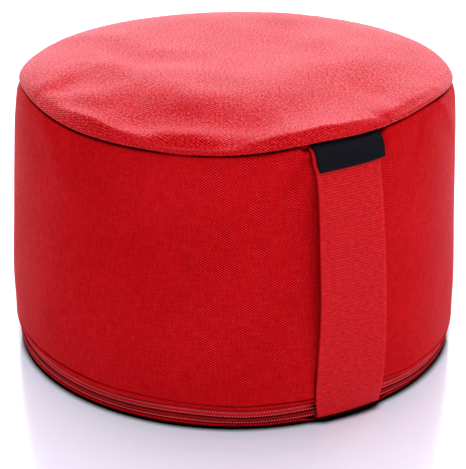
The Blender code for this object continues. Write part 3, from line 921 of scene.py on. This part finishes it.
def tape_finish(name, zipper):
    """Fine twill of the zip tape: slanted ribs |sin(pi (u + v) / p)|, the raised ones lighter, and
    painted shade where the band's rolled edge hangs over it.
    """
    wiring = new_finish(name, zipper.colour, 0.6)
    u, v = wiring.cloth()
    height = wiring.thread(wiring.math("ADD", u, v), 0.55 * MM)
    cloud = wiring.noise(u, v, 6.0 * MM, 2.0 * MM)
    # tone: ribs, clouds, and painted shade under the band's edge
    tone = wiring.times(wiring.ramp(height, 0.82, 1.1, 0.0, 1.0),
                        wiring.ramp(cloud, 0.9, 1.1, 0.25, 0.75),
                        wiring.paint_hollow_shade(8.0 * MM, 0.05, 0.67, 0.94))
    wiring.dye_and_painted_shading(zipper.colour, tone)
    wiring.set({"Specular IOR Level": wiring.times(tone, 0.08)})
    wiring.bump(height, 0.08 * MM)
    return wiring.owner


def webbing_finish(strap):
    """Cross-ribbed webbing: ribs painted lighter and darker by |sin(pi v / pitch)|, as painted
    shade, fine lengthwise threads, plain selvedges, painted shade in hollows by the cushion, and
    one pale dotted thread inside the right edge."""
    wiring = new_finish("webbing_red", strap.colour, 0.62, 0.12)
    u, v = wiring.cloth()
    rib, thread = wiring.thread(v, strap.rib_pitch), wiring.thread(u, 0.62 * MM)
    edge = strap.selvedge
    inside = wiring.times(wiring.ramp(u, 0.0, 1.0, edge * 0.8, edge),
                          wiring.ramp(u, 1.0, 0.0, STRAP_WIDTH - edge, STRAP_WIDTH - edge * 0.8))
    ribbed = wiring.math("MULTIPLY_ADD", inside, wiring.math("SUBTRACT", rib, 0.7), 0.7)
    cloud = wiring.noise(u, v, 3.6 * MM, 1.5 * MM)
    tone = wiring.times(wiring.ramp(ribbed, 0.78, 1.14, 0.1, 1.0),
                        wiring.ramp(thread, 0.88, 1.06, 0.0, 1.0),
                        wiring.ramp(cloud, 0.8, 1.2, 0.3, 0.7), wiring.paint_hollow_shade(4.0 * MM, 0.4))
    away = wiring.math("ABSOLUTE", wiring.math("SUBTRACT", u, STRAP_WIDTH - edge * 0.6))
    dots = wiring.times(wiring.ramp(wiring.wave(v, 0.68 * MM), 0.0, 1.0, 0.1, 0.5),
                        wiring.ramp(away, 1.0, 0.0, 0.25 * MM, 0.5 * MM))
    wiring.dye_and_painted_shading(strap.colour, wiring.math("MULTIPLY_ADD", dots, 0.45, tone))
    wiring.bump(thread, 0.07 * MM)
    return wiring.owner


def ribbon_finish(label):
    """Black satin: fine crosswise threads and a soft shine."""
    wiring = new_finish("ribbon_black", label.colour, 0.5, 0.05)
    u, v = wiring.cloth()
    cloud = wiring.noise(u, v, 8.0 * MM, 1.0 * MM)
    wiring.shade(label.colour, wiring.ramp(cloud, 0.75, 1.35, 0.25, 0.75))
    wiring.bump(wiring.thread(v, 0.4 * MM), 0.04 * MM)
    return wiring.owner


def floor_finish(stage):
    """Pale floor with a faint, blurred reflection; right under the cushion its colour and its glow
    are darkened, as a painted contact shadow.
    """
    wiring = new_finish("floor_pale", stage.floor_colour, stage.floor_blur)
    # painted contact shadow: darker where the cushion shuts out the way out
    dark = wiring.paint_hollow_shade(8.0 * MM, 0.0, 0.5, 0.85)
    wiring.shade(stage.floor_colour, dark)
    wiring.set({"Coat Weight": 1.0, "Coat Roughness": stage.floor_blur,
                "Emission Color": (*stage.floor_glow, 1.0), "Emission Strength": dark})
    return wiring.owner


# ---------------------------------------------------------------- pieces

def band_rows(azimuth):
    """Control rows of the band's outer face, from its rolled edge to its lip: radius and height.
    A row's height is its own + its share of the seam's rise + the lower edge's waves."""
    rise, edge = seam_rise(azimuth), waves(azimuth, EDGE_WAVES)
    side = [(radius * MM, height * MM + follow * rise + (1.0 - ease(height, *EDGE_FADE)) * edge)
            for radius, height, follow in SIDE_ROWS]
    lip = [(radius * MM, SEAM_HEIGHT + below * MM + rise) for radius, below in LIP_ROWS]
    return hoops(azimuth, *side, *lip)


def band_relief(azimuth, height, canvas):
    """How far the band stands out at an azimuth and a height: folds, a soft ripple, the groove of
    the hem, and small puckers along the seam and the hem."""
    below = SEAM_HEIGHT + seam_rise(azimuth) - height
    above = height - EDGE_HEIGHT - waves(azimuth, EDGE_WAVES)
    soft = ease(height, *SOFT_START) * ease(below, *SOFT_END)
    soft = SIDE_RIPPLE_HEIGHT * soft * ripple(azimuth, height, *SIDE_RIPPLE)
    relief = canvas.folds * (fold_height(azimuth, height, SIDE_FOLDS, on_side) + soft)
    uneven = 0.55 + 0.45 * ripple(azimuth, 0.0, *SEAM_UNEVEN)
    puckers = uneven * ripple(azimuth, height, *SEAM_PUCKERS) * fading(below, *SEAM_FADE)
    puckers += HEM_SHARE * ripple(azimuth, height, *HEM_PUCKERS) * fading(above, *HEM_FADE)
    level = np.interp(apart(azimuth), *np.array(GROOVE_LEVELS).T) * MM
    depth = GROOVE_DEPTH * (0.75 + 0.25 * ripple(azimuth, 0.0, *GROOVE_UNEVEN))
    groove = np.maximum(depth, 0.0) * np.exp(-((above - level) / GROOVE_HALF) ** 2)
    return relief + canvas.puckers * puckers - groove


def crown_rows(azimuth):
    """Control rows of the top panel's outer face, from its rim to the axis: radius and height.
    A row's height is the seam's + its own + its shares of the seam's rise and of the front's
    droop - the far side's sag."""
    rise, droop = waves(azimuth, SEAM_WAVES), waves(azimuth, FRONT_DROOP)
    levels = [(radius * MM, SEAM_HEIGHT + above * MM + follow * rise + front * droop
               - sag * MM * far_side(azimuth))
              for radius, above, follow, sag, front in CROWN_ROWS]
    return hoops(azimuth, *levels)


def crown_path(azimuth, canvas):
    """Fine rows of the top panel's outer face: the smooth rows raised by the folds, a soft ripple
    and the small puckers along the seam."""
    path, along = smooth_along(crown_rows(azimuth), CROWN_STEP, 0)
    radius = path[..., 0]
    soft = ripple(azimuth, radius, *CROWN_RIPPLE) * ease(radius, *CROWN_SOFT)
    relief = fold_height(azimuth, radius, CROWN_FOLDS, in_plan) + CROWN_RIPPLE_HEIGHT * soft
    relief *= canvas.folds * (1.0 - ease(radius, *CROWN_EDGE))
    uneven = 0.5 + 0.5 * ripple(azimuth, 0.0, *RIM_UNEVEN)
    puckers = uneven * ripple(azimuth, radius, *RIM_PUCKERS) * fading(along[:, None], *RIM_FADE)
    path[..., 1] += relief + canvas.puckers * RIM_SHARE * puckers
    return path


def under_rows(path, depth):
    """Coarse rows a depth below the crown, from inside its rim to the axis."""
    first = int(np.argmax(path[:, 0, 0] < UNDER_RADIUS))
    under = path[first::UNDER_STEP].copy()
    if not np.allclose(under[-1, 0], path[-1, 0]):
        under = np.concatenate((under, path[-1:]))
    under[..., 1] -= depth
    return under


def make_side(canvas):
    """Filled cover: floor, recess behind the zip, rolled edge, band, lip, seat of the rim, and the
    filling under the top panel, as rows of rings from the bottom of the axis to its top."""
    azimuth = azimuths()
    rows = band_rows(azimuth)
    steps = np.full(len(rows) - 1, BAND_STEP)
    steps[:LOW_ROWS], steps[-len(LIP_ROWS):] = EDGE_STEP, LIP_STEP
    band, along = smooth_along(rows, steps, 0)
    shown = ease(along, *ROLL_FADE) * ease(along[-1] - along, *LIP_FADE)
    band = beside(band, -band_relief(azimuth, band[..., 1], canvas) * shown[:, None])
    low = hoops(azimuth, (0.0, SHEET + GAP), (BODY_FOOT_RADIUS, SHEET + GAP),
                (BODY_FOOT_RADIUS, RECESS_FOOT), (ZIP_RECESS_RADIUS, RECESS_FOOT),
                (ZIP_RECESS_RADIUS, RECESS_TOP + waves(azimuth, EDGE_WAVES)))
    rim = SEAM_HEIGHT + waves(azimuth, SEAM_WAVES)
    seat = hoops(azimuth, (RIM_FOOT_RADIUS - 2 * GAP, rim + RIM_INNER_HEIGHT))
    under = under_rows(crown_path(azimuth, canvas), SHEET + GAP)
    points, distance = turned(azimuth, low, band, seat, under)
    finish = canvas_finish("canvas_side_red", canvas, **SIDE_LOOK)
    piece = turned_piece("side_cover", points, distance, finish)
    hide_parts("side_band")
    return piece


def make_top(canvas):
    """Top panel: under face from the axis to the rim, then the outer face back to the axis."""
    azimuth = azimuths()
    path = crown_path(azimuth, canvas)
    rim = SEAM_HEIGHT + waves(azimuth, SEAM_WAVES)
    seat = hoops(azimuth, (RIM_FOOT_RADIUS - GAP, rim + RIM_INNER_HEIGHT), (RIM_FOOT_RADIUS, rim))
    points, distance = turned(azimuth, under_rows(path, SHEET)[::-1], seat, path)
    finish = canvas_finish("canvas_top_red", canvas, **TOP_LOOK)
    piece = turned_piece("top_cover", points, distance, finish, flat=True)
    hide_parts("top_panel")
    return piece


def make_base(canvas):
    """Base panel: flat on the floor, its edge turned up as a low rim, lower under the strap."""
    azimuth = azimuths(COLUMNS // 2)
    low = strap_sector(azimuth, FOOT_SECTOR)
    share = np.minimum(foot(azimuth, FOOT_HEIGHT) / FOOT_HEIGHT, 1.0 - low * (1.0 - LOW_RIM))
    share = np.clip(share, LOW_RIM, 1.0)
    rows = hoops(azimuth, *((radius * MM, height * MM * share) for radius, height in BASE_ROWS))
    rim, _ = smooth_along(rows, BASE_STEP, 0)
    back = hoops(azimuth, (BASE_CORNER_RADIUS - low * LOW_RIM_SLOPE, SHEET),
                 (BASE_ROWS[0][0] * MM, SHEET), (0.0, SHEET))
    points, distance = turned(azimuth, hoops(azimuth, (0.0, 0.0)), rim, back)
    finish = canvas_finish("canvas_base_red", canvas, **BASE_LOOK)
    piece = turned_piece("base_cover", points, distance, finish)
    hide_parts("base_panel")
    return piece


def make_tape(name, node, heights, zipper):
    """Zip tape: a flat ring with its section gone once round, outer face a little uneven."""
    azimuth = azimuths(COLUMNS // 2)
    inner, outer = (radius * MM for radius in TAPE_RADII)
    low, high = (foot(azimuth, height * MM) for height in heights)
    swell = TAPE_SWELL * ripple(azimuth, 0.0, *TAPE_UNEVEN)
    face = [(outer + swell * math.sin(math.pi * share), low + (high - low) * share)
            for share in np.linspace(0.0, 1.0, TAPE_ROWS)]
    points, distance = turned(azimuth, hoops(azimuth, (inner, low), *face, (inner, high)))
    piece = ring_piece(name, points, distance, tape_finish(name + "_red", zipper))
    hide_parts(node)
    return piece


def make_teeth(zipper):
    """Joined teeth: two rows of standing beads a pitch apart, each row half a pitch from the
    other."""
    count = round(2.0 * math.pi * COIL_RADIUS * MM / zipper.pitch)
    low, high = COIL_HEIGHTS
    reach = TOOTH_OVERLAP + (high - low) / 4.0
    azimuth = np.concatenate((azimuths(count), azimuths(count) + 0.5 * TURN / count))
    height = np.repeat((high - reach, low + reach), count) * MM
    sizes = (TOOTH_HALF[0] * MM, reach * MM, TOOTH_HALF[1] * MM)
    finish = new_finish("coil_red", zipper.coil_colour, 0.5, 0.12).owner
    piece = add_beads("zip_teeth", COIL_RADIUS * MM, azimuth, height, sizes, finish)
    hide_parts("zip_coil")
    return piece


def make_stitches(zipper):
    """Rows of pale stitches on the tapes, each a small lying bead."""
    finish = new_finish("thread_pale", zipper.thread_colour, 0.7, 0.15).owner
    count = round(2.0 * math.pi * GIRTH / zipper.stitch)
    sizes = (STITCH_FILL / 2.0 * zipper.stitch, STITCH_HALF[0] * MM, STITCH_HALF[1] * MM)
    return [add_beads(f"zip_stitches_{row + 1}", (TAPE_RADII[1] + STITCH_LIFT) * MM,
                      azimuths(count) + row * STITCH_SHIFT * TURN / count, height * MM, sizes,
                      finish)
            for row, height in enumerate(STITCH_HEIGHTS)]


def strap_controls(across):
    """Control rows of the strap's inner face at places across its width, from the top seam to its
    foot: radius and height, and for each row how it lies (curve followed, sideways shift, turn)."""
    azimuth = np.degrees(np.arcsin((across + STRAP_TOP_SHIFT) / (LIP_ROWS[1][0] * MM)))
    seam = band_rows(azimuth)[::-1][:len(LIP_ROWS) + 1].copy()
    seam[0, :, 0] = STRAP_TUCK_RADIUS
    seam = beside(seam, SEAT_GAP)
    rise = waves(azimuth, SEAM_WAVES) - SEAM_POCKET
    hang = hoops(azimuth, *((radius * MM, height * MM + follow * rise)
                            for radius, height, follow, *_ in STRAP_ROWS))
    lies = [(1.0, STRAP_TOP_SHIFT, 0.0)] * len(seam)
    lies += [(wrap, shift * MM, turn * MM) for *_, wrap, shift, turn in STRAP_ROWS]
    return np.concatenate((seam, hang)), np.array(lies)


def across_place(across, path, lies):
    """Points of the strap: on the cushion's curve where the wrap is 1, on a flat band where it is
    0, shifted sideways and turned about its middle."""
    wrap, shift, turn = (lies[:, None, axis] for axis in range(3))
    radius, height = path[..., 0], path[..., 1]
    sideways = across + shift
    depth = np.sqrt(radius ** 2 - sideways ** 2)
    stand = radius + wrap * (depth - radius) - turn * across / STRAP_WIDTH
    return leaned(stacked(sideways, -stand, height))


def edge_places(width, count, edge):
    """Places across a width: both edges, a little inside them, and even steps between."""
    inside = np.linspace(-width / 2.0 + edge, width / 2.0 - edge, count)
    return np.concatenate(([-width / 2.0], inside, [width / 2.0]))


def make_strap(strap):
    """Webbing as sections along its way. The ribs raise its outer face by |sin(pi v / pitch)|,
    less at the selvedges, and both faces draw together at the edges."""
    across = edge_places(STRAP_WIDTH, *STRAP_PLACES)
    path, lies = strap_controls(across)
    faces = [across_place(across, beside(path, out), lies) for out in (0.0, STRAP_THICKNESS)]
    guide = len(across) // 2
    rows, along = smooth_along(np.concatenate(faces, axis=1), strap.rib_pitch / RIB_STEPS, guide)
    inner, outer = np.split(rows, 2, axis=1)
    way = unit(outer - inner)
    from_edge = STRAP_WIDTH / 2.0 - np.abs(across)
    ribbed = ease(from_edge, strap.selvedge * 0.7, strap.selvedge * 1.1)
    rib = np.abs(np.sin(math.pi * along / strap.rib_pitch))[:, None]
    groove = (1.0 - rib) * strap.rib_height * ribbed
    round_off = EDGE_ROUND * STRAP_THICKNESS * (from_edge == 0.0)
    low_edge = LOW_SELVEDGE * strap.rib_height * (1.0 - ribbed)
    outer = outer - way * (groove + low_edge + round_off)[..., None]
    inner = inner + way * (INNER_RIB * groove + round_off)[..., None]
    points = np.concatenate((inner, outer[:, ::-1]), axis=1)
    wide = np.concatenate((across, across[::-1])) + STRAP_WIDTH / 2.0
    piece = carried_piece("strap_webbing", points, along, wide, webbing_finish(strap))
    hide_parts("strap")
    return piece


def make_label(label):
    """Folded ribbon as sections along its way: down over the strap, round its fold as a half
    circle, and up again in front."""
    across = edge_places(LABEL_WIDTH, *LABEL_PLACES)
    path, lies = strap_controls(across + LABEL_SHIFT)
    seat = beside(path, STRAP_THICKNESS + SEAT_GAP)
    offsets = (0.0, LABEL_LAYER, LABEL_LAYER + LABEL_SPLIT, LABEL_STACK)
    faces = [across_place(across + LABEL_SHIFT, beside(seat, offset), lies) for offset in offsets]
    count = len(across)
    rows, along = smooth_along(np.concatenate(faces, axis=1), LABEL_STEP, count // 2)
    kept = along <= LABEL_LENGTH - LABEL_STACK / 2.0
    rows, share = rows[kept], along[kept] / along[kept][-1]
    rows[..., 0] += LABEL_SKEW * share[:, None]
    back, back_inside, front_inside, front = np.split(rows, len(offsets), axis=1)
    out = unit(front[-1] - back[-1])
    bulge = out * (LABEL_BULGE * np.sin(math.pi * share) ** 2)[:, None, None]
    front, front_inside = front + bulge, front_inside + bulge
    down = unit((rows[-1] - rows[-2])[:count])
    turn = np.linspace(0.0, math.pi, LABEL_FOLD_STEPS + 1)[1:-1, None, None]
    centre = (back[-1] + front[-1]) / 2.0
    folds = [centre + half * (down * np.sin(turn) - out * np.cos(turn))
             for half in (LABEL_STACK / 2.0, LABEL_SPLIT / 2.0)]
    outside = np.concatenate((back, folds[0], front[::-1]))
    inside = np.concatenate((back_inside, folds[1], front_inside[::-1]))
    points = np.concatenate((outside, inside[:, ::-1]), axis=1)
    distance = chords(points, count // 2)
    wide = np.concatenate((across, across[::-1]))
    piece = carried_piece("label_ribbon", points, distance, wide, ribbon_finish(label))
    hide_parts("label")
    return piece


def settle(pieces):
    """Let pieces ride on the cushion."""
    for piece in pieces:
        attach(piece, "root")


# ---------------------------------------------------------------- stage

def direction(azimuth, elevation):
    """Vector of length 1 towards an azimuth and an elevation."""
    lift = math.radians(elevation)
    return np.array((*in_plan(azimuth, math.cos(lift)), math.sin(lift)))


def looking(azimuth, elevation, distance):
    """Matrix of a camera or lamp that looks at CAMERA_AIM on the axis from a direction."""
    where = Vector(distance * direction(azimuth, elevation) + (0.0, 0.0, CAMERA_AIM))
    way = Vector((0.0, 0.0, CAMERA_AIM)) - where
    return Matrix.Translation(where) @ way.to_track_quat("-Z", "Y").to_matrix().to_4x4()


def room_light(stage):
    """White room, brighter towards its back and top. With c the cosine of the angle between a
    direction and the back's, and d its value ROOM_DARK, its strength is
    front + (back - front) ((c - d) / (1 - d))^2."""
    world = bpy.data.worlds.new("room")
    wiring = Wiring(world, "Background")
    way = wiring.node("ShaderNodeTexCoord").outputs["Generated"]
    back = tuple(direction(BACK_AZIMUTH, BACK_ELEVATION))
    cosine = wiring.node("ShaderNodeVectorMath", way, back, operation="DOT_PRODUCT")
    share = wiring.ramp(cosine.outputs["Value"], 0.0, 1.0, ROOM_DARK, 1.0)
    strength = wiring.math("MULTIPLY_ADD", wiring.math("POWER", share, 2.0),
                           stage.back - stage.front, stage.front)
    wiring.set({"Color": (*stage.light_colour, 1.0), "Strength": strength})
    return world


def make_stage(stage):
    """Floor, room light, one soft light and the camera."""
    scene = bpy.context.scene
    half = FLOOR_SIZE / 2.0
    corners = np.array(((-half, -half), (half, -half), (half, half), (-half, half)))
    points = np.column_stack((corners, np.full(4, -FLOOR_DROP)))
    floor = add_piece("floor", points, [np.array([[0, 1, 2, 3]])], [corners], floor_finish(stage))
    scene.world = room_light(stage)
    light = bpy.data.lights.new("front_fill", "AREA")
    light.size = FILL_SIZE
    light.energy = stage.fill
    lamp = linked("front_fill", light)
    lamp.matrix_world = looking(FILL_AZIMUTH, FILL_ELEVATION, FILL_DISTANCE)
    camera = bpy.data.cameras.new("camera")
    camera.lens = CAMERA_LENS
    camera.sensor_width = CAMERA_SENSOR
    camera.shift_x = CAMERA_SHIFT
    scene.camera = linked("camera", camera)
    scene.camera.matrix_world = looking(CAMERA_AZIMUTH, CAMERA_ELEVATION, CAMERA_DISTANCE)
    scene.view_settings.view_transform = "Standard"


# ---------------------------------------------------------------- operators and panel

class CUSHION_OT_canvas(bpy.types.Operator):
    """Make the filled side cover, the top cover and the base cover."""

    bl_idname = "cushion.canvas"
    bl_label = "Canvas cover"

    def execute(self, context):
        canvas = context.scene.cushion_canvas
        settle([make_side(canvas), make_top(canvas), make_base(canvas)])
        return {"FINISHED"}


class CUSHION_OT_zip(bpy.types.Operator):
    """Make the zip's tapes, teeth and stitches."""

    bl_idname = "cushion.zip"
    bl_label = "Zip"

    def execute(self, context):
        zipper = context.scene.cushion_zip
        tapes = [make_tape("upper_tape", "zip_tape_upper", UPPER_TAPE, zipper),
                 make_tape("lower_tape", "zip_tape_lower", LOWER_TAPE, zipper)]
        settle(tapes)
        settle([make_teeth(zipper)])
        settle(make_stitches(zipper))
        return {"FINISHED"}


class CUSHION_OT_strap(bpy.types.Operator):
    """Make the carrying strap."""

    bl_idname = "cushion.strap"
    bl_label = "Strap"

    def execute(self, context):
        settle([make_strap(context.scene.cushion_strap)])
        return {"FINISHED"}


class CUSHION_OT_label(bpy.types.Operator):
    """Make the blank side label."""

    bl_idname = "cushion.label"
    bl_label = "Label"

    def execute(self, context):
        settle([make_label(context.scene.cushion_label)])
        return {"FINISHED"}


class CUSHION_OT_stage(bpy.types.Operator):
    """Set the floor, the lights and the camera."""

    bl_idname = "cushion.stage"
    bl_label = "Stage"

    def execute(self, context):
        make_stage(context.scene.cushion_stage)
        return {"FINISHED"}


class CUSHION_PT_panel(bpy.types.Panel):
    """Sizes, colours and steps of the cushion."""

    bl_idname = "CUSHION_PT_panel"
    bl_label = "Floor Cushion"
    bl_space_type = "VIEW_3D"
    bl_region_type = "UI"
    bl_category = "Cushion"

    def draw(self, context):
        for group, operator in STEPS:
            settings = getattr(context.scene, group)
            box = self.layout.box()
            for name in settings.bl_rna.properties.keys():
                if name not in ("name", "rna_type"):
                    box.prop(settings, name)
            box.operator(operator)


SETTINGS = {
    "cushion_canvas": CanvasSettings,
    "cushion_zip": ZipSettings,
    "cushion_strap": StrapSettings,
    "cushion_label": LabelSettings,
    "cushion_stage": StageSettings,
}
STEPS = (
    ("cushion_zip", "cushion.zip"),
    ("cushion_canvas", "cushion.canvas"),
    ("cushion_strap", "cushion.strap"),
    ("cushion_label", "cushion.label"),
    ("cushion_stage", "cushion.stage"),
)
CLASSES = (*SETTINGS.values(), CUSHION_OT_canvas, CUSHION_OT_zip, CUSHION_OT_strap,
           CUSHION_OT_label, CUSHION_OT_stage, CUSHION_PT_panel)


def register():
    """Register every class and hang the settings on the scene."""
    for made in CLASSES:
        bpy.utils.register_class(made)
    for name, group in SETTINGS.items():
        setattr(bpy.types.Scene, name, PointerProperty(type=group))


def unregister():
    """Take the settings and classes away again."""
    for name in SETTINGS:
        delattr(bpy.types.Scene, name)
    for made in reversed(CLASSES):
        bpy.utils.unregister_class(made)


def main():
    """Register the classes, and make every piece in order."""
    register()
    bpy.ops.cushion.zip()
    bpy.ops.cushion.canvas()
    bpy.ops.cushion.strap()
    bpy.ops.cushion.label()
    bpy.ops.cushion.stage()


if __name__ == "__main__":
    main()
